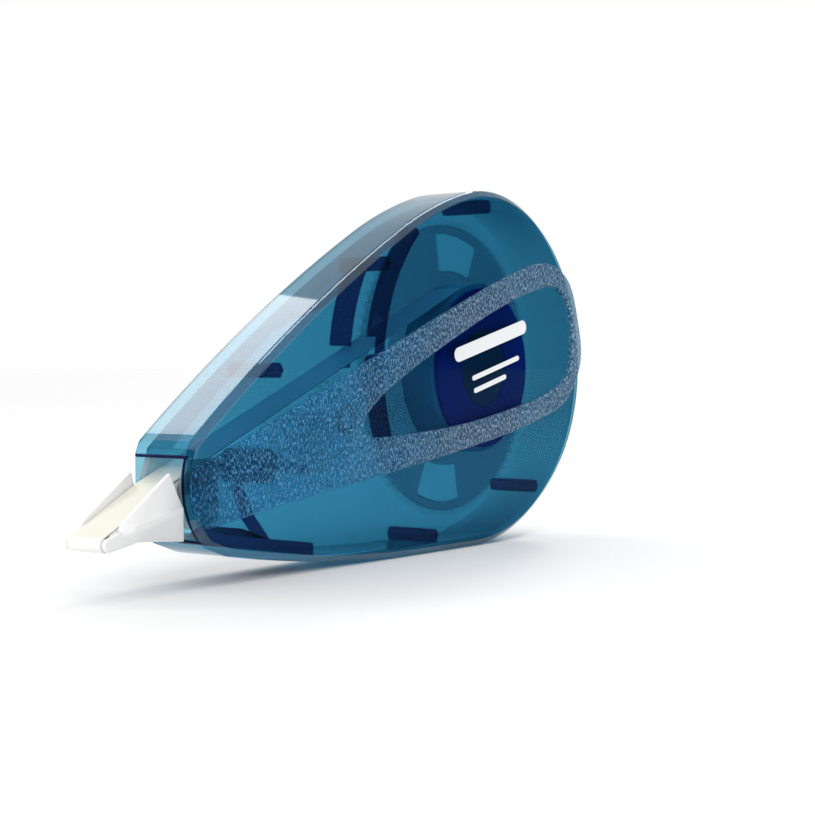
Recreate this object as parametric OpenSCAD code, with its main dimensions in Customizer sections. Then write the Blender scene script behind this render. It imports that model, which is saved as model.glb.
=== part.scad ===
// Correction tape roller: a thin teardrop dispenser for dry white correction tape.
// +Z is up, the nose points to -X, the cover and its grip face -Y.
// The origin is the bottom centre of the whole object, in millimetres.

/* [Body] */
// thickness of the outer walls
wall = 1.1; // [0.9:0.1:1.3]
// width of the flat of the rim, between its two bevels
rim_w = 7.8; // [7.6:0.1:8.0]
// depth of the bevel all round each side face
bevel = 0.9; // [0.6:0.1:0.9]
// how far the grip loop stands off the cover
grip_h = 0.8; // [0.5:0.1:0.8]

/* [Reels] */
// radius of the full tape roll
roll_r = 12; // [9:0.5:12.5]
// radius of the near flange of the supply spool
flange_r = 11.3; // [9:0.1:12]
// width of the tape
tape_w = 5; // [4.8:0.1:5]
// teeth of the big drive gear
drive_n = 84; // [84:1:84]
// teeth of the idler gear
idler_n = 23; // [23:1:23]
// teeth of the take-up gear
takeup_n = 20; // [20:1:20]

/* [Tip] */
// radius of the tip roller
tip_r = 0.7; // [0.6:0.05:0.7]
// radius of the guide roller behind the nose
guide_r = 2.1; // [1.8:0.1:2.2]

/* [Hidden] */
$fn = 64;

// distances across the object, along Y
far_out = 5.2;
near_out = far_out - rim_w - 2 * bevel;
far_in = far_out - wall;
near_in = near_out + wall;
rim_far = far_out - bevel;
rim_near = near_out + bevel;
tape_mid = 0.4;
tape_near = tape_mid - tape_w / 2;
tape_far = tape_mid + tape_w / 2;
gear_near = 3.1;
gear_far = 3.9;

// gear train: the three axes lie on one slanting line
gear_m = 0.5;
train_deg = 194.6;
slack = 0.04;
axis = [24, 25];
drive_r = gear_m * drive_n / 2;
idler_r = gear_m * idler_n / 2;
takeup_r = gear_m * takeup_n / 2;
train = [cos(train_deg), sin(train_deg)];
idler_at = axis + (drive_r + idler_r + slack) * train;
takeup_at = idler_at + (idler_r + takeup_r + slack) * train;
gear_room = drive_r + 0.8;

guide_at = [-22.4, 13.2];
tip_at = [-48.18, 6];
ribbon = 0.12;
sill = [-38.5, 11.9];
core_r = 8;
reel_r = 3.2;
liner_r = 3.8;
tooth_lock = 0.05;

// ---------- plane curves ----------
function arc(c, r, a0, a1, n) =
    [for (i = [0:n]) let (a = a0 + (a1 - a0) * i / n) [c[0] + r * cos(a), c[1] + r * sin(a)]];

// Side outline of the body moved inward by d: tail, back, long top edge, nose, belly.
function body_line(d) = concat(
    arc(axis, 25 - d, 0, 106, 22),
    arc([36.68, -19.2], 71 - d, 108.5, 118.5, 4),
    arc([126.87, -185.3], 260 - d, 120, 129, 6),
    arc([-28.3, 12], 9.7 - d, 153, 229, 9),
    arc([8, 230], 230 - d, 260.5, 270, 5),
    arc([19.8, 32.2], 32.2 - d, 270, 312, 8),
    arc([27, 25], 22 - d, 315, 355, 7));

// Smooth closed curve through a few points, with n steps between each pair.
function knot(p, i) = p[(i + len(p)) % len(p)];
function smooth(p, n) = [for (i = [0:len(p) - 1], k = [0:n - 1])
    let (t = k / n, a = knot(p, i - 1), b = knot(p, i), c = knot(p, i + 1), d = knot(p, i + 2))
    b + 0.5 * t * ((c - a) + t * ((2 * a - 5 * b + 4 * c - d) + t * (3 * b - 3 * c + d - a)))];

// The same closed curve, which runs anticlockwise, moved inward by d.
function inset(p, d) = [for (i = [0:len(p) - 1])
    let (v = knot(p, i + 1) - knot(p, i - 1)) p[i] + d * [-v[1], v[0]] / norm(v)];

grip_knots = [[47.9, 26], [46.9, 32.6], [44.2, 38.1], [38.6, 40.5], [30.2, 39], [14.8, 33.6],
    [-3.5, 26.6], [-19.4, 20.4], [-33, 15.2], [-37, 13.8], [-37.6, 10.6], [-36, 7.2],
    [-33, 7.1], [-19.4, 9.1], [5.3, 12.2], [24.9, 15.1], [36, 17.4], [43.6, 20]];
grip_line = smooth(grip_knots, 5);
window_knots = [[45.4, 27.6], [45, 33], [42, 36.6], [36.9, 36.8], [26, 33.8], [11, 27.9],
    [-1, 22.4], [-6.2, 18.7], [-6, 16.6], [-1.5, 16.1], [15.8, 17.2], [31.4, 19.6],
    [40.4, 21.9], [44.2, 24.2]];
window_line = smooth(window_knots, 5);

// ---------- solids along Y ----------
module plate(y0, y1) {
    translate([0, y1, 0]) rotate([90, 0, 0]) linear_extrude(y1 - y0) children();
}

module rod(at, r, y0, y1) {
    translate([at[0], y1, at[1]]) rotate([90, 0, 0]) cylinder(h = y1 - y0, r = r);
}

module tube(at, r0, r1, y0, y1) {
    difference() {
        rod(at, r1, y0, y1);
        rod(at, r0, y0 - 1, y1 + 1);
    }
}

// Part of a ring between two angles, as a plane shape.
module ring_part(at, r0, r1, a0, a1) {
    difference() {
        intersection() {
            translate(at) circle(r1, $fn = 128);
            polygon(concat([at], arc(at, r1 * 1.4, a0, a1, 8)));
        }
        translate(at) circle(r0, $fn = 128);
    }
}

// Straight strip of thickness t from a to b, standing to the left of the line.
module strip(a, b, t) {
    u = (b - a) / norm(b - a);
    v = [-u[1], u[0]] * t;
    polygon([a, b, b + v, a + v]);
}

// Spur gear outline with 20 degree flanks and a little backlash.
function roll_angle(rb, r) = let (a = acos(min(1, rb / r))) tan(a) * 180 / PI - a;
function flank(n, r) = let (p = gear_m * n / 2, rb = p * cos(20))
    90 / n - 2.2 * tooth_lock / p * 90 / PI + roll_angle(rb, p) - roll_angle(rb, max(r, rb));
function gear_line(n, turn) = let (p = gear_m * n / 2, rs = [p - 0.6, p - 0.2, p + 0.15, p + 0.46])
    [for (i = [0:n - 1], k = [0:7]) let (r = rs[k < 4 ? k : 7 - k],
        a = turn + 360 * i / n + (k < 4 ? -1 : 1) * flank(n, r)) r * [cos(a), sin(a)]];

module gear(at, n, turn) {
    translate(at) polygon(gear_line(n, turn));
}

// ---------- shell ----------
lug_at = [[24.5, 47.9], [0.6, 38.6], [-21.2, 24.7], [37.4, 7.4], [11.4, 2.1]];
pin_r = 0.45;

module body_block() {
    hull() {
        plate(rim_near, rim_far) polygon(body_line(0));
        plate(near_out, far_out) polygon(body_line(0.8));
    }
}

// Open front between the two side walls, where the head looks out. The far wall stops short.
module mouth() {
    translate([-45, rim_near - 1, 5.3]) cube([10.5, far_in - rim_near + 1, 9.6]);
    translate([-45, far_in - 1, 5.3]) cube([8.4, wall + 2, 9.6]);
}

// Passage of the tape through the walls round the reel.
module tape_gap() {
    plate(tape_near - 0.35, tape_far + 0.2) strip(sill - [0, 1.2], tape_start - [0, 1.2], 2.4);
}

module rear_casing() {
    color([0.16, 0.46, 0.6]) {
        difference() {
            intersection() {
                body_block();
                translate([-60, rim_near, -5]) cube([120, far_out - rim_near, 60]);
            }
            plate(rim_near - 1, far_in) polygon(body_line(1.2));
            mouth();
        }
        // six-sided lugs across the body, bored for the cover's pins and relieved round the gear
        for (p = lug_at) difference() {
            translate([p[0], far_in + 0.2, p[1]]) rotate([90, 0, 0])
                cylinder(h = far_in + 0.2 - near_in - 0.1, r = 1.05, $fn = 6);
            rod(p, pin_r + 0.01, near_in - 1, near_in + 2);
            rod(axis, gear_room, gear_near - 0.2, far_in);
        }
        // wall round the far side of the drive gear's rim
        difference() {
            plate(1.2, far_in + 0.1) ring_part(axis, 25.5, 26.5, 148, 180);
            tape_gap();
        }
        // front brace: a floor block and the curved rib that climbs from it
        plate(-2.9, far_in + 0.1) polygon([[-30.6, 4.3], [-14.2, 1.8], [-14.2, 3.4], [-22.6, 4.6],
            [-27.2, 6.2]]);
        plate(-2.9, -2.3) polygon([[-24.6, 4.8], [-22.4, 4.6], [-25, 7.4], [-27.4, 11.6],
            [-28.7, 11.4], [-27, 7.4]]);
        // axles
        rod(axis, 3, -1.2, far_in + 0.1);
        rod(takeup_at, 1.2, -2.2, far_in + 0.1);
        rod(idler_at, 1.2, 1.4, far_in + 0.1);
        rod(guide_at, 0.9, -2.9, far_in + 0.1);
        rod([-33.8, 12.2], 0.7, -2.7, far_in + 0.1);
    }
}

module front_cover() {
    color([0.16, 0.46, 0.6]) {
        difference() {
            union() {
                intersection() {
                    body_block();
                    translate([-60, near_out - 1, -5]) cube([120, rim_near - near_out + 1, 60]);
                }
                plate(rim_near - 0.01, near_in) polygon(body_line(1.26));
            }
            // shallow pocket inside the grip loop
            plate(near_out - 1, near_out + 0.2) polygon(window_line);
            // notch of the mouth in the lower corner
            translate([-45, rim_near, 5.3]) cube([7.4, 2, 9.6]);
        }
        for (p = lug_at) rod(p, pin_r, near_in - 0.1, near_in + 1.6);
        // wall round the near side of the reel, notched where the tape leaves
        difference() {
            plate(near_in - 0.1, -0.5) ring_part(axis, 24.2, 25.2, 132, 205);
            tape_gap();
        }
        // thimble over the end of the guide post
        tube(guide_at, 0.93, 1.7, near_in - 0.1, -2.75);
    }
}

module grip_loop() {
    color([0.1, 0.4, 0.62]) difference() {
        hull() {
            plate(near_out - grip_h + 0.35, near_out) polygon(inset(grip_line, 0.02));
            plate(near_out - grip_h, near_out) polygon(inset(grip_line, 0.35));
        }
        plate(near_out - 2, near_out + 1) polygon(window_line);
    }
}

// Plain printed sign on the window: a stroke of tape laid over two ruled lines.
module cover_motif() {
    color([0.96, 0.97, 0.97]) plate(near_out + 0.14, near_out + 0.2) for (s = [[0, 0, 19, 2],
        [3.5, -3.4, 12.5, 0.7], [3.5, -5.2, 8.5, 0.7]])
        translate([15, 25.6]) rotate(14) translate([s[0], s[1]]) {
            translate([s[3] / 2, 0]) square([s[2] - s[3], s[3]]);
            for (e = [s[3] / 2, s[2] - s[3] / 2]) translate([e, s[3] / 2]) circle(s[3] / 2);
        }
}

// ---------- supply side ----------
module drive_gear() {
    color([0.12, 0.36, 0.5]) {
        difference() {
            plate(gear_near, gear_far) gear(axis, drive_n, train_deg);
            plate(gear_near - 1, gear_far + 1) for (a = [0:90:270])
                ring_part(axis, 14, 19.3, a - 24, a + 10);
            rod(axis, 3.06, gear_near - 1, gear_far + 1);
        }
        difference() {
            rod(axis, 4.36, -2, gear_near + 0.1);
            rod(axis, 3.06, -3, gear_near + 1);
            rod(axis, 3.7, -3, -1.1);
        }
    }
}

module slip_ring() {
    color([0.1, 0.1, 0.12]) tube(axis, 4.37, 5.2, -1.4, 2.4);
}

module supply_spool() {
    color([0.08, 0.13, 0.42]) {
        difference() {
            rod(axis, flange_r, -2.9, -2.3);
            rod(axis, 5.5, -4, 0);
        }
        tube(axis, 5.22, 5.6, -2, 2.8);
        tube(axis, 5.5, 6, -2.4, 2.8);
        tube(axis, core_r - 0.9, core_r, -2.4, 2.8);
        difference() {
            rod(axis, core_r - 0.5, 0, 0.8);
            rod(axis, 5.6, -1, 2);
            for (a = [0:60:300]) rod(axis + 6.55 * [cos(a), sin(a)], 0.45, -1, 2);
        }
    }
}

module tape_roll() {
    color([0.93, 0.92, 0.84]) tube(axis, core_r + 0.02, roll_r, tape_near, tape_far);
}

module spool_cap() {
    color([0.05, 0.08, 0.25]) {
        rod(axis, 5.35, -2.9, -2.1);
        rod(axis, 3.68, -2.2, -1.3);
    }
}

// ---------- take-up side ----------
module idler_gear() {
    color([0.75, 0.85, 0.88]) difference() {
        union() {
            plate(gear_near, gear_far) gear(idler_at, idler_n, train_deg);
            rod(idler_at, 2.2, 1.9, gear_near + 0.1);
        }
        rod(idler_at, 1.25, 0, gear_far + 1);
    }
}

module takeup_gear() {
    color([0.75, 0.85, 0.88]) difference() {
        union() {
            plate(gear_near, gear_far) gear(takeup_at, takeup_n, train_deg + 180 / takeup_n);
            rod(takeup_at, reel_r, -2.2, gear_near + 0.1);
        }
        rod(takeup_at, 1.25, -4, gear_far + 1);
        rod(takeup_at, 2.22, -4, -1.2);
    }
}

module takeup_flange() {
    color([0.75, 0.85, 0.88]) {
        tube(takeup_at, 1.3, 5.3, -2.85, -2.3);
        tube(takeup_at, 1.3, 2.2, -2.4, -1.3);
    }
}

module idler_clip() {
    color([0.8, 0.82, 0.84]) tube(idler_at, 1.2, 2, 1.4, 1.8);
}

module liner_roll() {
    color([0.9, 0.88, 0.78]) tube(takeup_at, reel_r + 0.02, liner_r, tape_near, tape_far);
}

module guide_roller() {
    color([0.1, 0.15, 0.3]) tube(guide_at, 0.95, guide_r, -2.6, 3.5);
}

// ---------- tip ----------
tape_drop = asin(roll_r / norm(axis - sill)) + atan2(axis[1] - sill[1], axis[0] - sill[0]);
tape_start = axis + roll_r * [-sin(tape_drop), cos(tape_drop)];
tip_drop = 27.6;
wrap_r = tip_r + 0.03;
tip_top = tip_at + wrap_r * [-sin(tip_drop), cos(tip_drop)];
// the liner leaves under the tip and rises over the guide roller
rise = guide_at - tip_at;
rise_deg = atan2(rise[1], rise[0]) + asin((wrap_r + ribbon + guide_r + 0.03) / norm(rise));
tip_low = tip_at + (wrap_r + ribbon) * [sin(rise_deg), -cos(rise_deg)];
guide_top = guide_at + (guide_r + 0.03) * [-sin(rise_deg), cos(rise_deg)];
// then it dives under the take-up reel
dive = takeup_at - guide_at;
dive_deg = atan2(dive[1], dive[0]) - asin((guide_r + 0.03 + liner_r + ribbon) / norm(dive));
guide_off = guide_at + (guide_r + 0.03) * [-sin(dive_deg), cos(dive_deg)];
reel_on = takeup_at + (liner_r + ribbon) * [sin(dive_deg), -cos(dive_deg)];

module applicator_head() {
    color([0.95, 0.95, 0.95]) {
        difference() {
            union() {
                // tongue that carries the tape down to the tip
                plate(-2.3, 3.1) polygon([[-47.6, 7], [-38.5, 11.7], [-31.6, 14.4], [-31.6, 12.3],
                    [-38.5, 9.8], [-47.6, 6.3]]);
                // two thin arms that hold the tip roller
                for (y = [-2.9, 3.1]) {
                    plate(y, y + 0.6) polygon([tip_at + [0, 0.72], [-44, 8.5], [-42, 8.5],
                        [-42, 6.4], tip_at + [0, -0.72]]);
                    rod(tip_at, 0.74, y, y + 0.6);
                }
                // guide fins either side of the tape
                for (y = [-3.1, 3.1]) plate(y, y + 0.8) polygon([[-39.3, 13.1], [-46.6, 7.9],
                    [-46.6, 6.9], [-44.8, 6.2], [-37.1, 5.6]]);
                // cheeks inside the nose
                for (y = [-3.1, 3.1]) plate(y, y + 0.8) polygon([[-36.6, 14.7], [-38.6, 11.6],
                    [-38.4, 9.2], [-36.4, 6.8], [-31.6, 7.4], [-31.6, 14.7]]);
            }
            // room for the roller and the tape that turns round it
            rod(tip_at, 1.1, tape_near - 0.15, tape_far + 0.15);
            rod(tip_at, 0.37, -4, 5);
            rod([-33.8, 12.2], 0.72, -4, 5);
            // slot for the returning liner
            plate(tape_near - 0.15, tape_far + 0.15)
                strip(tip_low - [0, 1.6], guide_top - [0, 1.6], 1.9);
        }
    }
}

module tip_roller() {
    color([0.97, 0.97, 0.97]) {
        rod(tip_at, tip_r, tape_near - 0.1, tape_far + 0.1);
        rod(tip_at, 0.34, -2.85, 3.65);
    }
}

module tape_run() {
    up = ribbon * [-sin(tape_drop), cos(tape_drop)];
    color([0.93, 0.92, 0.84]) plate(tape_near, tape_far)
        polygon([tip_top, sill, tape_start, tape_start + up, sill + up,
            tip_top + ribbon * [-sin(tip_drop), cos(tip_drop)]]);
}

module tip_wrap() {
    color([0.93, 0.92, 0.84]) plate(tape_near, tape_far)
        ring_part(tip_at, wrap_r, wrap_r + ribbon, 90 + tip_drop, 270 + rise_deg);
}

module liner_run() {
    color([0.9, 0.88, 0.78]) plate(tape_near, tape_far) {
        strip(tip_low, guide_top, ribbon);
        ring_part(guide_at, guide_r + 0.03, guide_r + 0.03 + ribbon, 89 + dive_deg,
            91 + rise_deg);
        strip(guide_off, reel_on, ribbon);
    }
}

rear_casing();
front_cover();
grip_loop();
cover_motif();
drive_gear();
slip_ring();
supply_spool();
tape_roll();
spool_cap();
idler_gear();
takeup_gear();
takeup_flange();
liner_roll();
guide_roller();
applicator_head();
tip_roller();
tape_run();
tip_wrap();
liner_run();
idler_clip();
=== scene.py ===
import math

import bmesh
import bpy
from mathutils import Matrix, Vector


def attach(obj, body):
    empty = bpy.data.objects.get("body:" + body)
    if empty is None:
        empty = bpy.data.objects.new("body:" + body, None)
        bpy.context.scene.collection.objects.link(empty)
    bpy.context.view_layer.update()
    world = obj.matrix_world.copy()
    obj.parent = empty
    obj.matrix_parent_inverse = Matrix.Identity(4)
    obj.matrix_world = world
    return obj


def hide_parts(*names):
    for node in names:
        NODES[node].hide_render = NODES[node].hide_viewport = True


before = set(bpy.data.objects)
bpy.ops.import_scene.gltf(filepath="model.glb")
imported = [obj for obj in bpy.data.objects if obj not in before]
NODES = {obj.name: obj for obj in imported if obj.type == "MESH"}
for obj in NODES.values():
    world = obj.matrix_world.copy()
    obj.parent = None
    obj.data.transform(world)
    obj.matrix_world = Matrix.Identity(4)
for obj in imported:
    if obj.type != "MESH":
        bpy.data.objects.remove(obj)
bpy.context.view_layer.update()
MM = 0.001


# ---------- outlines, in mm: X along the body, Z up ----------
def arc(c, r, a0, a1, n):
    turn = [math.radians(a0 + (a1 - a0) * i / n) for i in range(n + 1)]
    return [(c[0] + r * math.cos(a), c[1] + r * math.sin(a)) for a in turn]


# Centres of the turning pieces and of the nose's rounding.
AXIS = (24.0, 25.0)
IDLER = (-1.9249, 18.2471)
TAKEUP = (-12.3665, 15.5272)
GUIDE = (-22.4, 13.2)
HEAD_PEG = (-33.8, 12.2)
TIP = (-48.18, 6.0)
NOSE, NOSE_R = (-28.3, 12), 9.7
# X ahead of which the rim is the nose's rounding, and the heights that the mouth lies between.
NOSE_START = -36.8
MOUTH_LOW, MOUTH_TOP = 5.3, 14.9
# Posts and ribs end here, a little inside the far wall.
FAR_END = 4.15


def body_line(d):
    """Side outline of the body moved inward by d."""
    return (
        arc(AXIS, 25 - d, 0, 106, 70)
        + arc((36.68, -19.2), 71 - d, 107, 118.5, 12)
        + arc((126.87, -185.3), 260 - d, 119, 129, 18)
        + arc(NOSE, NOSE_R - d, 153, 229, 26)
        + arc((8, 230), 230 - d, 260.3, 270, 16)
        + arc((19.8, 32.2), 32.2 - d, 270, 314, 26)
        + arc((27, 25), 22 - d, 315, 358, 24)
    )


def smooth(p, n):
    """Smooth closed curve through the points, n steps between each pair."""
    out = []
    for i in range(len(p)):
        a, b, c, d = (p[(i + k) % len(p)] for k in (-1, 0, 1, 2))
        for k in range(n):
            t = k / n
            out.append(tuple(
                b[j] + 0.5 * t * ((c[j] - a[j]) + t * ((2 * a[j] - 5 * b[j] + 4 * c[j] - d[j])
                    + t * (3 * b[j] - 3 * c[j] + d[j] - a[j])))
                for j in (0, 1)
            ))
    return out


def inset(p, d):
    """An anticlockwise closed curve moved inward by d."""
    out = []
    for i in range(len(p)):
        a, b = p[i - 1], p[(i + 1) % len(p)]
        v = (b[0] - a[0], b[1] - a[1])
        n = math.hypot(*v) or 1
        out.append((p[i][0] - d * v[1] / n, p[i][1] + d * v[0] / n))
    return out


GRIP = smooth([(47.9, 26), (46.9, 32.6), (44.2, 38.1), (38.6, 40.5), (30.2, 39), (14.8, 33.6),
    (-3.5, 26.6), (-19.4, 20.4), (-33, 15.2), (-37, 13.8), (-37.6, 10.6), (-36, 7.2),
    (-33, 7.1), (-19.4, 9.1), (5.3, 12.2), (24.9, 15.1), (36, 17.4), (43.6, 20)], 14)
WINDOW = smooth([(45.4, 27.6), (45, 33), (42, 36.6), (36.9, 36.8), (26, 33.8), (11, 27.9),
    (-1, 22.4), (-6.2, 18.7), (-6, 16.6), (-1.5, 16.1), (15.8, 17.2), (31.4, 19.6),
    (40.4, 21.9), (44.2, 24.2)], 14)


# ---------- meshes ----------
def new_object(name, bm, sharp=35):
    bmesh.ops.recalc_face_normals(bm, faces=bm.faces)
    me = bpy.data.meshes.new(name)
    bm.to_mesh(me)
    bm.free()
    me.shade_smooth()
    me.set_sharp_from_angle(angle=math.radians(sharp))
    o = bpy.data.objects.new(name, me)
    bpy.context.collection.objects.link(o)
    return o


def loft(bm, rings, cap=True, dark=()):
    """Closed rings of (x, z) at y, joined one after another; ends capped. The bands whose
    numbers are in dark take the second material."""
    made = []
    for ring, y in rings:
        made.append([bm.verts.new((x * MM, y * MM, z * MM)) for x, z in ring])
    for k, (a, b) in enumerate(zip(made, made[1:])):
        for i in range(len(a)):
            j = (i + 1) % len(a)
            bm.faces.new((a[i], a[j], b[j], b[i])).material_index = int(k in dark)
    if cap:
        bm.faces.new(made[0])
        bm.faces.new(made[-1][::-1])
    return made


def lathe(name, at, profile, n=128):
    """Closed (radius, y) profile turned about an axis along Y."""
    bm = bmesh.new()
    rows = []
    for i in range(n):
        a = 2 * math.pi * i / n
        rows.append([bm.verts.new(((at[0] + r * math.cos(a)) * MM, y * MM,
            (at[1] + r * math.sin(a)) * MM)) for r, y in profile])
    for i in range(n):
        a, b = rows[i], rows[(i + 1) % n]
        for k in range(len(profile)):
            m = (k + 1) % len(profile)
            bm.faces.new((a[k], a[m], b[m], b[k]))
    return new_object(name, bm)


def prism(name, ring, y0, y1, edge=0.08):
    """A flat shape along Y with softened edges."""
    bm = bmesh.new()
    loft(bm, [(ring, y0), (ring, y1)])
    if edge:
        bmesh.ops.recalc_face_normals(bm, faces=bm.faces)
        sharp = [e for e in bm.edges if e.calc_face_angle(0) > math.radians(25)]
        bmesh.ops.bevel(bm, geom=sharp, offset=edge * MM, segments=2, affect="EDGES",
            profile=0.6, clamp_overlap=True)
    return new_object(name, bm)


def box(name, lo, hi):
    """A plain block that cuts; its faces leave the second material."""
    bm = bmesh.new()
    bmesh.ops.create_cube(bm, size=1)
    for f in bm.faces:
        f.material_index = 1
    for v in bm.verts:
        v.co = Vector([(lo[k] + (v.co[k] + 0.5) * (hi[k] - lo[k])) * MM for k in range(3)])
    return new_object(name, bm)


def carve(obj, cutters):
    """Cuts exactly and throws the cutters away. Two empty slots on each keep the numbers of the
    faces' materials through the cut."""
    for o in (obj, *cutters):
        for k in range(2):
            o.data.materials.append(None)
    for c in cutters:
        m = obj.modifiers.new("cut", "BOOLEAN")
        m.operation = "DIFFERENCE"
        m.solver = "EXACT"
        m.object = c
    deps = bpy.context.evaluated_depsgraph_get()
    me = bpy.data.meshes.new_from_object(obj.evaluated_get(deps))
    obj.modifiers.clear()
    obj.data = me
    me.materials.clear()
    me.shade_smooth()
    me.set_sharp_from_angle(angle=math.radians(25))
    for c in cutters:
        bpy.data.objects.remove(c)
    return obj


# ---------- materials ----------
def tree(name):
    m = bpy.data.materials.new(name)
    m.use_nodes = True
    nt = m.node_tree
    nt.nodes.clear()
    return m, nt, nt.nodes.new("ShaderNodeOutputMaterial")


def add(nt, kind, **sockets):
    n = nt.nodes.new(kind)
    for k, v in sockets.items():
        n.inputs[k.replace("_", " ")].default_value = v
    return n


def place(nt):
    return nt.nodes.new("ShaderNodeTexCoord").outputs["Object"]


def noise(nt, scale, detail=2.0, rough=0.5):
    n = add(nt, "ShaderNodeTexNoise", Scale=scale, Detail=detail, Roughness=rough)
    nt.links.new(place(nt), n.inputs["Vector"])
    return n.outputs["Fac"]


def ranged(nt, fac, lo, hi):
    n = nt.nodes.new("ShaderNodeMapRange")
    n.inputs["To Min"].default_value = lo
    n.inputs["To Max"].default_value = hi
    nt.links.new(fac, n.inputs["Value"])
    return n.outputs["Result"]


def along_x(nt, start, end):
    """0 up to start, 1 from end on, in mm along the body."""
    split = nt.nodes.new("ShaderNodeSeparateXYZ")
    nt.links.new(place(nt), split.inputs[0])
    n = nt.nodes.new("ShaderNodeMapRange")
    n.inputs["From Min"].default_value = start * MM
    n.inputs["From Max"].default_value = end * MM
    nt.links.new(split.outputs["X"], n.inputs["Value"])
    return n.outputs[0]


def mixed(nt, fac, a, b):
    """Blend of two colours, each a colour output or fixed values."""
    n = nt.nodes.new("ShaderNodeMix")
    n.data_type = "RGBA"
    nt.links.new(fac, n.inputs["Factor"])
    for key, colour in (("A", a), ("B", b)):
        if isinstance(colour, tuple):
            n.inputs[key].default_value = (*colour, 1)
        else:
            nt.links.new(colour, n.inputs[key])
    return n.outputs["Result"]


def bump(nt, height, strength, distance):
    n = add(nt, "ShaderNodeBump", Strength=strength, Distance=distance * MM)
    nt.links.new(height, n.inputs["Height"])
    return n.outputs["Normal"]


def plastic(name, colour, rough=0.3, ior=1.5, vary=0.12, grain=900, grain_depth=0.004, **more):
    """Moulded plastic: faint cloudiness in the colour, uneven gloss and a fine skin."""
    m, nt, out = tree(name)
    p = add(nt, "ShaderNodeBsdfPrincipled", IOR=ior, **more)
    dark = tuple(c * (1 - vary) for c in colour)
    light = tuple(min(1, c * (1 + vary)) for c in colour)
    nt.links.new(mixed(nt, noise(nt, 180), dark, light), p.inputs["Base Color"])
    nt.links.new(ranged(nt, noise(nt, 420, 3), rough * 0.8, min(1, rough * 1.25)),
        p.inputs["Roughness"])
    nt.links.new(bump(nt, noise(nt, grain, 3), 0.5, grain_depth), p.inputs["Normal"])
    nt.links.new(p.outputs[0], out.inputs[0])
    return m


def rim_shine(nt, facing):
    """Share of light a clear skin throws back: little head-on, nearly all at a glance."""
    lw = add(nt, "ShaderNodeLayerWeight", Blend=0.5)
    power = nt.nodes.new("ShaderNodeMath")
    power.operation = "POWER"
    nt.links.new(lw.outputs["Facing"], power.inputs[0])
    power.inputs[1].default_value = 4.0
    return ranged(nt, power.outputs[0], facing, 1.0)


def thinned(nt, colour, radius):
    """The colour inside a radius in mm about the reel's axis, and nearly clear outside it."""
    offset = nt.nodes.new("ShaderNodeVectorMath")
    offset.operation = "MULTIPLY_ADD"
    nt.links.new(place(nt), offset.inputs[0])
    offset.inputs[1].default_value = (1, 0, 1)
    offset.inputs[2].default_value = (-AXIS[0] * MM, 0, -AXIS[1] * MM)
    length = nt.nodes.new("ShaderNodeVectorMath")
    length.operation = "LENGTH"
    nt.links.new(offset.outputs[0], length.inputs[0])
    edge = nt.nodes.new("ShaderNodeMapRange")
    edge.inputs["From Min"].default_value = (radius - 0.1) * MM
    edge.inputs["From Max"].default_value = (radius + 0.1) * MM
    nt.links.new(length.outputs["Value"], edge.inputs["Value"])
    return mixed(nt, edge.outputs[0], colour, (0.97, 0.98, 0.98))


def see_through(name, tint, colour, solid, rough=0.03, ior=2.5, coat=1.0,
        wave=0.001, vary=0.03, deep=1.0, teeth=None):
    """Clear coloured plastic: light passes tinted, more deeply at a glance, and the skin shines.
    Beyond the radius given as teeth, about the reel's axis, it thins out."""
    m, nt, out = tree(name)
    clear = nt.nodes.new("ShaderNodeBsdfTransparent")
    low = tuple(c * (1 - vary) for c in tint)
    high = tuple(min(1, c * (1 + vary)) for c in tint)
    slant = add(nt, "ShaderNodeLayerWeight", Blend=0.5)
    passed = mixed(nt, ranged(nt, slant.outputs["Facing"], -0.4 * deep, deep),
        mixed(nt, noise(nt, 60), low, high), tuple(c ** 3 for c in tint))
    if teeth:
        passed = thinned(nt, passed, teeth)
    nt.links.new(passed, clear.inputs[0])
    skin = add(nt, "ShaderNodeBsdfPrincipled", IOR=ior, Base_Color=(*colour, 1),
        Coat_Weight=coat, Coat_IOR=2.2, Coat_Roughness=rough)
    nt.links.new(ranged(nt, noise(nt, 300, 3), rough * 0.8, rough * 1.3),
        skin.inputs["Roughness"])
    nt.links.new(bump(nt, noise(nt, 60, 1), 0.3, wave), skin.inputs["Normal"])
    mix = nt.nodes.new("ShaderNodeMixShader")
    nt.links.new(rim_shine(nt, solid), mix.inputs[0])
    nt.links.new(clear.outputs[0], mix.inputs[1])
    nt.links.new(skin.outputs[0], mix.inputs[2])
    nt.links.new(mix.outputs[0], out.inputs[0])
    return m


TEAL = (0.45, 0.72, 0.81)
FACE = see_through("shell_face", TEAL, (0.005, 0.06, 0.1), 0.03, ior=1.5, coat=0)
SHELL = see_through("shell_teal", TEAL, (0.005, 0.07, 0.12), 0.2)
EDGE = see_through("shell_edge", (0.24, 0.5, 0.64), (0.004, 0.03, 0.08), 0.15, deep=0)
BEAD = see_through("shell_bead", (0.1, 0.2, 0.45), (0.003, 0.01, 0.07), 0.25, ior=1.5, coat=0,
    deep=0)
RIBS = see_through("shell_thick", (0.4, 0.3, 0.5), (0.003, 0.008, 0.03), 0.04, rough=0.3,
    ior=1.5, coat=0, deep=0)
DISC = see_through("gear_teal", (0.74, 0.72, 0.77), (0.005, 0.05, 0.09), 0.02, rough=0.3,
    ior=1.5, coat=0, deep=0, teeth=20.6)
CLEAR = see_through("gear_clear", (0.985, 0.99, 0.995), (0.02, 0.08, 0.12), 0.01, rough=0.3,
    ior=1.4, coat=0, deep=0)
# Part-clear skin for the head's cheeks, coloured grey where the head is white: the grey is painted
# shade for the inside of the mouth.
FROST_SHADED = see_through("head_frost_painted_shade", (0.8, 0.84, 0.85), (0.5, 0.53, 0.54), 0.4, rough=0.4,
    ior=1.5, coat=0, deep=0)
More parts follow.
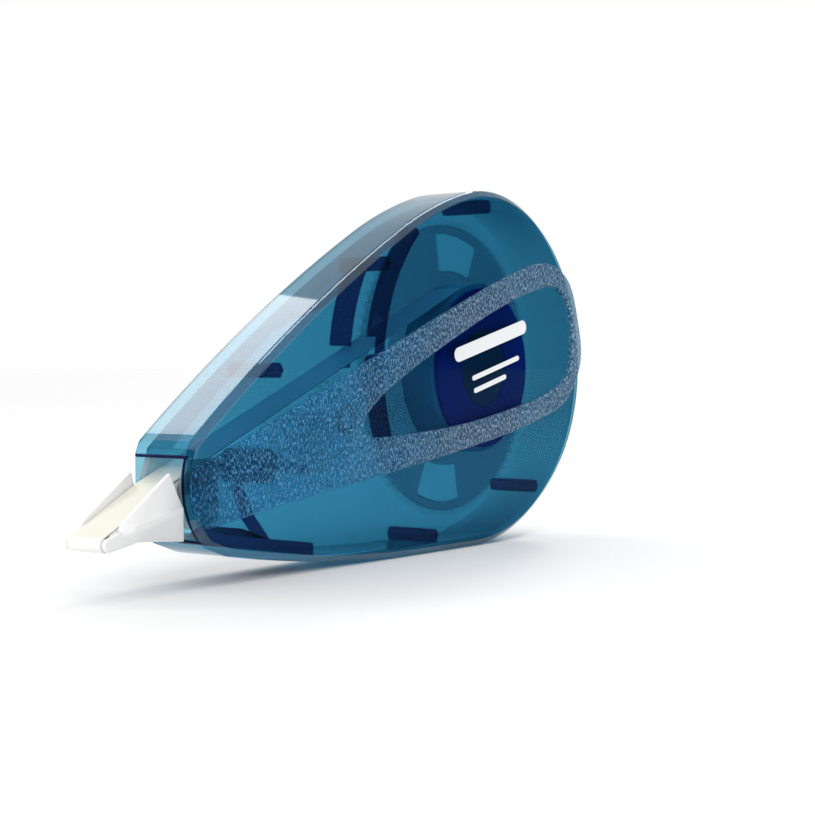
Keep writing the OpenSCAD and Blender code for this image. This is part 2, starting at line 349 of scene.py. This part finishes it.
FILM = see_through("liner_clear", (0.93, 0.96, 0.97), (0.3, 0.4, 0.45), 0.04, rough=0.3,
    ior=1.4, coat=0, deep=0)
ROYAL = see_through("spool_blue", (0.3, 0.4, 0.95), (0.006, 0.02, 0.5), 0.6, rough=0.3,
    ior=1.4, coat=0, deep=0)
NAVY = plastic("cap_navy", (0.004, 0.03, 0.14), 0.35)
# Painted shade: the wound tape is coloured a mid blue, darker than the cream film, for where it
# sits inside the shell.
WOUND_PAINTED_SHADE = plastic("tape_wound_painted_shade", (0.2, 0.42, 0.62), 0.4, ior=1.35)
LINER = plastic("liner_film", (0.83, 0.83, 0.82), 0.3, vary=0.01)
WHITE = plastic("head_white", (0.82, 0.82, 0.82), 0.35, vary=0.004, grain=6000, grain_depth=0.0004)
RUBBER = plastic("ring_rubber", (0.02, 0.02, 0.022), 0.6)
STEEL = plastic("clip_steel", (0.5, 0.5, 0.5), 0.3, Metallic=1.0)
INK = plastic("print_white", (0.9, 0.92, 0.94), 0.4, vary=0.03)


def tape_film():
    """Dry white film: cream in the open, painted darker and bluer where it runs inside the shell, a
    painted shade.
    """
    m, nt, out = tree("tape_film")
    p = add(nt, "ShaderNodeBsdfPrincipled")
    open_air = mixed(nt, noise(nt, 180), (0.70, 0.70, 0.59), (0.74, 0.74, 0.64))
    # Painted shade: inside the shell the film takes a darker, bluer colour.
    painted_shade_inside = mixed(nt, noise(nt, 260), (0.50, 0.53, 0.68), (0.55, 0.57, 0.72))
    nt.links.new(mixed(nt, along_x(nt, -38, -30), open_air, painted_shade_inside), p.inputs["Base Color"])
    nt.links.new(ranged(nt, noise(nt, 420, 3), 0.36, 0.5), p.inputs["Roughness"])
    nt.links.new(bump(nt, noise(nt, 2500, 3), 0.5, 0.002), p.inputs["Normal"])
    nt.links.new(p.outputs[0], out.inputs[0])
    return m


TAPE = tape_film()


def grip_skin(name, painted_glint):
    """Leather-grained clear blue skin over the cover: bluer at the nose, greyer at the back.
    Its crests are painted lighter and its dips darker, painted glints and shade; painted_glint
    whitens the crests further, a painted highlight."""
    def glint_whitened(colour, white):
        return tuple(c + painted_glint * (w - c) for c, w in zip(colour, white))

    m, nt, out = tree(name)
    stretch = nt.nodes.new("ShaderNodeVectorMath")
    stretch.operation = "MULTIPLY"
    nt.links.new(place(nt), stretch.inputs[0])
    stretch.inputs[1].default_value = (1.7, 1.0, 0.75)
    grain = add(nt, "ShaderNodeTexNoise", Scale=2900.0, Detail=0.5, Roughness=0.5,
        Distortion=0.35)
    nt.links.new(stretch.outputs[0], grain.inputs["Vector"])
    crest = nt.nodes.new("ShaderNodeMapRange")
    crest.interpolation_type = "SMOOTHSTEP"
    crest.inputs["From Min"].default_value = 0.42
    crest.inputs["From Max"].default_value = 0.7
    nt.links.new(grain.outputs["Fac"], crest.inputs["Value"])
    height = crest.outputs[0]
    middle, back = along_x(nt, -36, -29), along_x(nt, -14, 14)
    # Painted glints and shade: the grain's crests are coloured lighter and its dips darker.
    shaded_dips = mixed(nt, back, mixed(nt, middle, (0.0, 0.02, 0.08), (0.003, 0.1, 0.26)),
        mixed(nt, back, (0.04, 0.12, 0.22), (0.05, 0.13, 0.23)))
    fore, aft = (0.75, 0.83, 0.9), (0.8, 0.86, 0.9)
    lit_crests = mixed(nt, back,
        mixed(nt, middle, glint_whitened((0.05, 0.26, 0.48), fore), glint_whitened((0.12, 0.44, 0.7), fore)),
        mixed(nt, back, glint_whitened((0.27, 0.41, 0.55), aft), glint_whitened((0.29, 0.43, 0.56), aft)))
    skin = add(nt, "ShaderNodeBsdfPrincipled", IOR=1.3)
    nt.links.new(mixed(nt, height, shaded_dips, lit_crests), skin.inputs["Base Color"])
    nt.links.new(ranged(nt, noise(nt, 4000, 2), 0.2, 0.4), skin.inputs["Roughness"])
    nt.links.new(bump(nt, height, 1.0, 0.05), skin.inputs["Normal"])
    clear = add(nt, "ShaderNodeBsdfTransparent", Color=(0.8, 0.93, 1, 1))
    cover = nt.nodes.new("ShaderNodeMath")
    cover.operation = "MULTIPLY_ADD"
    nt.links.new(back, cover.inputs[0])
    cover.inputs[1].default_value = 0.24
    nt.links.new(ranged(nt, height, 0.24, 0.58 + 0.3 * painted_glint), cover.inputs[2])
    mix = nt.nodes.new("ShaderNodeMixShader")
    nt.links.new(cover.outputs[0], mix.inputs[0])
    nt.links.new(clear.outputs[0], mix.inputs[1])
    nt.links.new(skin.outputs[0], mix.inputs[2])
    nt.links.new(mix.outputs[0], out.inputs[0])
    return m


# The second skin whitens the crests further: a painted highlight along the grip's upper edge.
GRIP_SKIN = grip_skin("grip_leather", 0)
GRIP_GLINT_RIM = grip_skin("grip_leather_glint_rim", 0.7)


def paint(o, *materials):
    o.data.materials.clear()
    for m in materials:
        o.data.materials.append(m)
    return o


def paint_node(node, m):
    o = NODES[node]
    if not o.material_slots:
        o.data.materials.append(m)
    for s in o.material_slots:
        s.material = m


def dress_shell(o):
    """Flat sides and the nose take the plain face. Rims, bevels and inner walls take the shiny
    one."""
    for m in (FACE, EDGE, SHELL):
        o.data.materials.append(m)
    for f in o.data.polygons:
        if f.material_index == 0 and abs(f.normal.y) < 0.95 and f.center.x > NOSE_START * MM:
            f.material_index = 2
    return o


def keep(o, body, slot, *nodes):
    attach(o, body)
    if nodes:
        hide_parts(*nodes)
    return o


# ---------- shell ----------
bm = bmesh.new()
loft(bm, [(body_line(1.7), 4.1), (body_line(1.3), 4.0), (body_line(1.2), 3.7),
    (body_line(1.2), -3.5), (body_line(0.14), -3.5), (body_line(0.14), -3.46),
    (body_line(0.04), -3.42), (body_line(0), -3.36), (body_line(0), -3.3), (body_line(0), 4.1),
    (body_line(0), 4.2),
    (body_line(0.04), 4.36), (body_line(0.72), 5.1), (body_line(0.9), 5.2)], dark=(3, 4, 5))
casing = new_object("casing_shell", bm)
carve(casing, [box("mouth", (-45, -4.6, MOUTH_LOW), (-34.5, 4.1, MOUTH_TOP)),
    box("far_mouth", (-45, 3.1, MOUTH_LOW), (-36.6, 6.2, MOUTH_TOP))])
dress_shell(casing)
keep(casing, "shell", "shell", "rear_casing")

bm = bmesh.new()
loft(bm, [(body_line(0.9), -4.4), (body_line(0.72), -4.3), (body_line(0.04), -3.64),
    (body_line(0.02), -3.58), (body_line(0.12), -3.53), (body_line(1.26), -3.53),
    (body_line(1.26), -3.34), (body_line(1.3), -3.3)], dark=(3, 4, 5))
cover = new_object("cover_plate", bm)
cut = prism("pocket", WINDOW, -5, -4.2, 0)
carve(cover, [cut, box("mouth", (-45, -3.5, MOUTH_LOW), (-37.6, -1.5, MOUTH_TOP))])
dress_shell(cover)
keep(cover, "shell", "shell", "front_cover")

# ---------- grip ----------
bm = bmesh.new()
outer = [(0.02, -4.39), (0.02, -4.75), (0.07, -4.95), (0.18, -5.1), (0.36, -5.18), (0.6, -5.2)]
inner = [(0.0, -4.39), (0.0, -4.8), (0.05, -5.0), (0.18, -5.12), (0.4, -5.18), (0.55, -5.2)]
rows_o = loft(bm, [(inset(GRIP, d), y) for d, y in outer], cap=False)
rows_i = loft(bm, [(inset(WINDOW, -d), y) for d, y in inner], cap=False)
for rows in ((rows_o[0], rows_i[0]), (rows_o[-1], rows_i[-1])):
    edges = []
    for row in rows:
        for i in range(len(row)):
            edges.append(bm.edges.get((row[i], row[(i + 1) % len(row)])))
    bmesh.ops.triangle_fill(bm, edges=edges, use_beauty=True, use_dissolve=False)
grip = new_object("grip_band", bm, 50)
# Faces along the grip's upper edge take the skin with the painted highlight.
for f in grip.data.polygons:
    f.material_index = 1 if f.normal.y > 0.9 else 2 if f.normal.y > -0.9 and f.normal.z > 0.2 else 0
keep(paint(grip, GRIP_SKIN, CLEAR, GRIP_GLINT_RIM), "shell", "grip", "grip_loop")

# ---------- posts, lugs and walls moulded in the shell ----------
def ring_part(r0, r1, a0, a1, n=48):
    return arc(AXIS, r1, a0, a1, n) + arc(AXIS, r0, a1, a0, n)


ribs = []
LUGS = [(24.5, 47.9), (0.6, 38.6), (-21.2, 24.7), (37.4, 7.4), (11.4, 2.1)]
for i, p in enumerate(LUGS):
    ribs.append(prism(f"lug_{i + 1}", arc(p, 1.05, 0, 300, 5), -3.2, FAR_END))
ribs.append(prism("far_wall_top", ring_part(25.5, 26.5, 148, 173.6), 1.2, FAR_END))
ribs.append(prism("far_wall_low", ring_part(25.5, 26.5, 177, 180, 6), 1.2, FAR_END))
near = prism("near_wall", ring_part(24.2, 25.2, 132, 205), -3.35, -0.9)
# The tape passes through a slot along its own slope.
slope = math.tan(math.radians(22.7))
low, high = 27.9 - 7.5 * slope, 27.9 + 8.5 * slope
gap = [(-8, low - 1.3), (8, high - 1.3), (8, high + 1.3), (-8, low + 1.3)]
carve(near, [prism("gap", gap, -2.45, 1, 0)])
ribs.append(near)
ribs.append(prism("brace", [(-30.6, 4.3), (-14.2, 1.8), (-14.2, 3.4), (-22.6, 4.6),
    (-27.2, 6.2)], -2.9, FAR_END))
ribs.append(prism("brace_rib", [(-24.6, 4.8), (-22.4, 4.6), (-25, 7.4), (-27.4, 11.6),
    (-28.7, 11.4), (-27, 7.4)], -2.9, -2.3))
for r in ribs:
    keep(paint(r, RIBS), "shell", "shell")

for name, at, r, y0 in (("axle_post", AXIS, 3, -1.2), ("takeup_post", TAKEUP, 1.2, -2.2),
        ("idler_post", IDLER, 1.2, 1.4), ("guide_post", GUIDE, 0.9, -2.9),
        ("head_peg", HEAD_PEG, 0.7, -2.7)):
    post = lathe(name, at, [(0.001, y0), (r - 0.15, y0), (r, y0 + 0.15), (r, FAR_END),
        (0.001, FAR_END)])
    keep(paint(post, CLEAR), "shell", "shell")
thimble = lathe("guide_thimble", GUIDE, [(0.95, -3.4), (1.7, -3.4), (1.7, -2.85),
    (1.6, -2.75), (1.0, -2.75), (0.95, -2.8)])
keep(paint(thimble, CLEAR), "shell", "shell")

beads = []
for name, ring, y0, y1 in (
        ("mouth_bead_top", arc((-37.35, 15.0), 0.2, 0, 330, 11), -3.7, 4.2),
        ("mouth_bead_low", arc((-35.2, 5.25), 0.17, 0, 330, 11), -3.7, 4.2)):
    beads.append(prism(name, ring, y0, y1, 0))
nose = arc(NOSE, NOSE_R + 0.02, 162, 222, 30) + arc(NOSE, NOSE_R - 0.2, 222, 162, 30)
beads.append(prism("mouth_bead_near", nose, -3.62, -3.42, 0))
for b in beads:
    keep(paint(b, BEAD), "shell", "shell")

# ---------- applicator head ----------
def folded_fin(name, side, y):
    """Guide fin: a thin blade that thickens outward along a fold, with a rounded front."""
    bm = bmesh.new()
    rim = [(-39.2, 13.3), (-46.3, 8.35), (-46.75, 7.6), (-46.5, 6.9), (-45.6, 6.35), (-44.6, 6.1),
        (-37.0, 5.5), (-38.0, 9.6)]
    fold = [(-45.6, 7.4), (-44.9, 7.1), (-38.0, 8.9), (-37.9, 9.5), (-45.1, 8.0)]
    inner = [bm.verts.new((x * MM, y * MM, z * MM)) for x, z in rim]
    outer = [bm.verts.new((x * MM, (y + side * 0.55) * MM, z * MM)) for x, z in rim]
    ridge = [bm.verts.new((x * MM, (y + side * 1.4) * MM, z * MM)) for x, z in fold]
    n = len(rim)
    bm.faces.new(inner)
    for i in range(n):
        j = (i + 1) % n
        bm.faces.new((inner[i], inner[j], outer[j], outer[i]))
    o, r = outer, ridge
    for face in ((o[7], o[0], o[1], r[4], r[3]), (o[1], o[2], r[0], r[4]), (o[2], o[3], r[0]),
            (o[3], o[4], r[1], r[0]), (o[4], o[5], r[1]), (o[5], o[6], r[2], r[1]),
            (o[6], o[7], r[3], r[2]), (r[0], r[1], r[2], r[3], r[4])):
        bm.faces.new(face)
    bmesh.ops.recalc_face_normals(bm, faces=bm.faces)
    bmesh.ops.bevel(bm, geom=[e for e in bm.edges if e.calc_face_angle(0) > 0.2],
        offset=0.12 * MM, segments=2, affect="EDGES", profile=0.5, clamp_overlap=True)
    return new_object(name, bm, 40)


head = [
    prism("head_tongue", [(-47.6, 7), (-38.5, 11.7), (-31.6, 14.4), (-31.6, 12.3), (-38.5, 9.8),
        (-47.6, 6.3)], -2.3, 3.1),
    folded_fin("head_fin_near", -1, -2.35),
    folded_fin("head_fin_far", 1, 3.15),
]
for tag, y in (("near", -2.9), ("far", 3.1)):
    rounded = arc(TIP, 0.76, 118, 270, 14)
    head.append(prism(f"head_arm_{tag}", rounded + [(-42, 6.4), (-42, 8.3), (-44, 8.3)], y, y + 0.6,
        0.12))
for tag, y in (("near", -3.1), ("far", 3.1)):
    head.append(prism(f"head_cheek_{tag}", [(-36.4, 14.7), (-37.6, 11.6), (-37.5, 9.2),
        (-36.4, 6.8), (-31.6, 7.4), (-31.6, 14.7)], y, y + 0.8, 0.15))
for o in head:
    # The cheeks take the greyer skin, a painted shade.
    material = FROST_SHADED if "cheek" in o.name else WHITE
    keep(paint(o, material), "shell", "head_white", "applicator_head")

for node, mat in (("cover_motif", INK), ("drive_gear", DISC), ("slip_ring", RUBBER),
        ("supply_spool", ROYAL), ("tape_roll", WOUND_PAINTED_SHADE), ("spool_cap", NAVY),
        ("idler_gear", CLEAR), ("takeup_gear", CLEAR), ("takeup_flange", CLEAR),
        ("liner_roll", FILM), ("guide_roller", NAVY), ("tip_roller", WHITE),
        ("tape_run", TAPE), ("tip_wrap", LINER), ("liner_run", FILM),
        ("idler_clip", STEEL)):
    paint_node(node, mat)

# ---------- stage ----------
bm = bmesh.new()
lines = (-40, -0.5, 0.5, 40)
rows = [[bm.verts.new((x, y, -0.00001)) for x in lines] for y in lines]
for a, b in zip(rows, rows[1:]):
    for i in range(3):
        bm.faces.new((a[i], a[i + 1], b[i + 1], b[i]))
floor = new_object("floor", bm, 180)
m, nt, out = tree("floor_white")
p = add(nt, "ShaderNodeBsdfPrincipled", Base_Color=(0.9, 0.9, 0.9, 1), Roughness=0.8)
nt.links.new(p.outputs[0], out.inputs[0])
paint(floor, m)

# The world lights evenly but for a dark card to the right, which keeps haze off the cover.
# What is seen of it directly is white.
world = bpy.data.worlds.new("studio")
world.use_nodes = True
wt = world.node_tree
around = wt.nodes.new("ShaderNodeTexCoord")
facing_card = wt.nodes.new("ShaderNodeVectorMath")
facing_card.operation = "DOT_PRODUCT"
wt.links.new(around.outputs["Generated"], facing_card.inputs[0])
facing_card.inputs[1].default_value = Vector((0.81, -0.59, 0.05)).normalized()
card = wt.nodes.new("ShaderNodeMapRange")
for key, value in (("From Min", 0.72), ("From Max", 0.9), ("To Min", 0.9), ("To Max", 0.15)):
    card.inputs[key].default_value = value
wt.links.new(facing_card.outputs["Value"], card.inputs["Value"])
seen = wt.nodes.new("ShaderNodeLightPath")
level = wt.nodes.new("ShaderNodeMix")
wt.links.new(seen.outputs["Is Camera Ray"], level.inputs["Factor"])
wt.links.new(card.outputs[0], level.inputs["A"])
level.inputs["B"].default_value = 1.0
wt.links.new(level.outputs["Result"], wt.nodes["Background"].inputs["Strength"])
wt.nodes["Background"].inputs["Color"].default_value = (1, 1, 1, 1)
bpy.context.scene.world = world


def aim_at(o, direction):
    o.rotation_euler = Vector(direction).to_track_quat("-Z", "Y").to_euler()


def softbox(name, direction, along, distance, size, radiance):
    """Rectangular lamp of a given brightness, seen from the object in a direction, with its
    first side along another."""
    data = bpy.data.lights.new(name, "AREA")
    data.shape = "RECTANGLE"
    data.size, data.size_y = size
    data.energy = radiance * size[0] * size[1] * math.pi
    o = bpy.data.objects.new(name, data)
    bpy.context.collection.objects.link(o)
    back = Vector(direction).normalized()
    side = (Vector(along) - back * back.dot(along)).normalized()
    turn = Matrix((side, back.cross(side), back)).transposed()
    o.matrix_world = Matrix.Translation(back * distance + Vector((0, 0, 0.025))) @ turn.to_4x4()
    return o


def sun(name, direction, strength, spread):
    data = bpy.data.lights.new(name, "SUN")
    data.energy = strength
    data.angle = math.radians(spread)
    o = bpy.data.objects.new(name, data)
    bpy.context.collection.objects.link(o)
    aim_at(o, -Vector(direction))
    return o


sun("sun_back", (0.8, 0.32, 0.52), 0.7, 14)
sun("sun_front", (-0.87, -0.34, 0.36), 0.8, 14)
softbox("softbox_rim", (0.1185, 0.705, 0.699), (1, -0.17, 0), 0.498, (0.23, 0.11), 3.6)
softbox("strip_top", (0.42, -0.28, 0.86), (0.54, 0.35, -0.18), 0.5, (0.42, 0.04), 7.0)

cam = bpy.data.cameras.new("photo_view")
cam.sensor_width = 36
cam.lens = 71.1
cam.clip_start = 0.005
view = bpy.data.objects.new("photo_view", cam)
bpy.context.collection.objects.link(view)
view.location = (-0.16786, -0.12884, 0.02488)
yaw, pitch = math.radians(54.01), math.radians(1.38)
aim = Vector((math.sin(yaw) * math.cos(pitch), math.cos(yaw) * math.cos(pitch), -math.sin(pitch)))
view.rotation_euler = aim.to_track_quat("-Z", "Y").to_euler()
scene = bpy.context.scene
scene.camera = view
scene.view_settings.view_transform = "Standard"
scene.cycles.transparent_max_bounces = 48
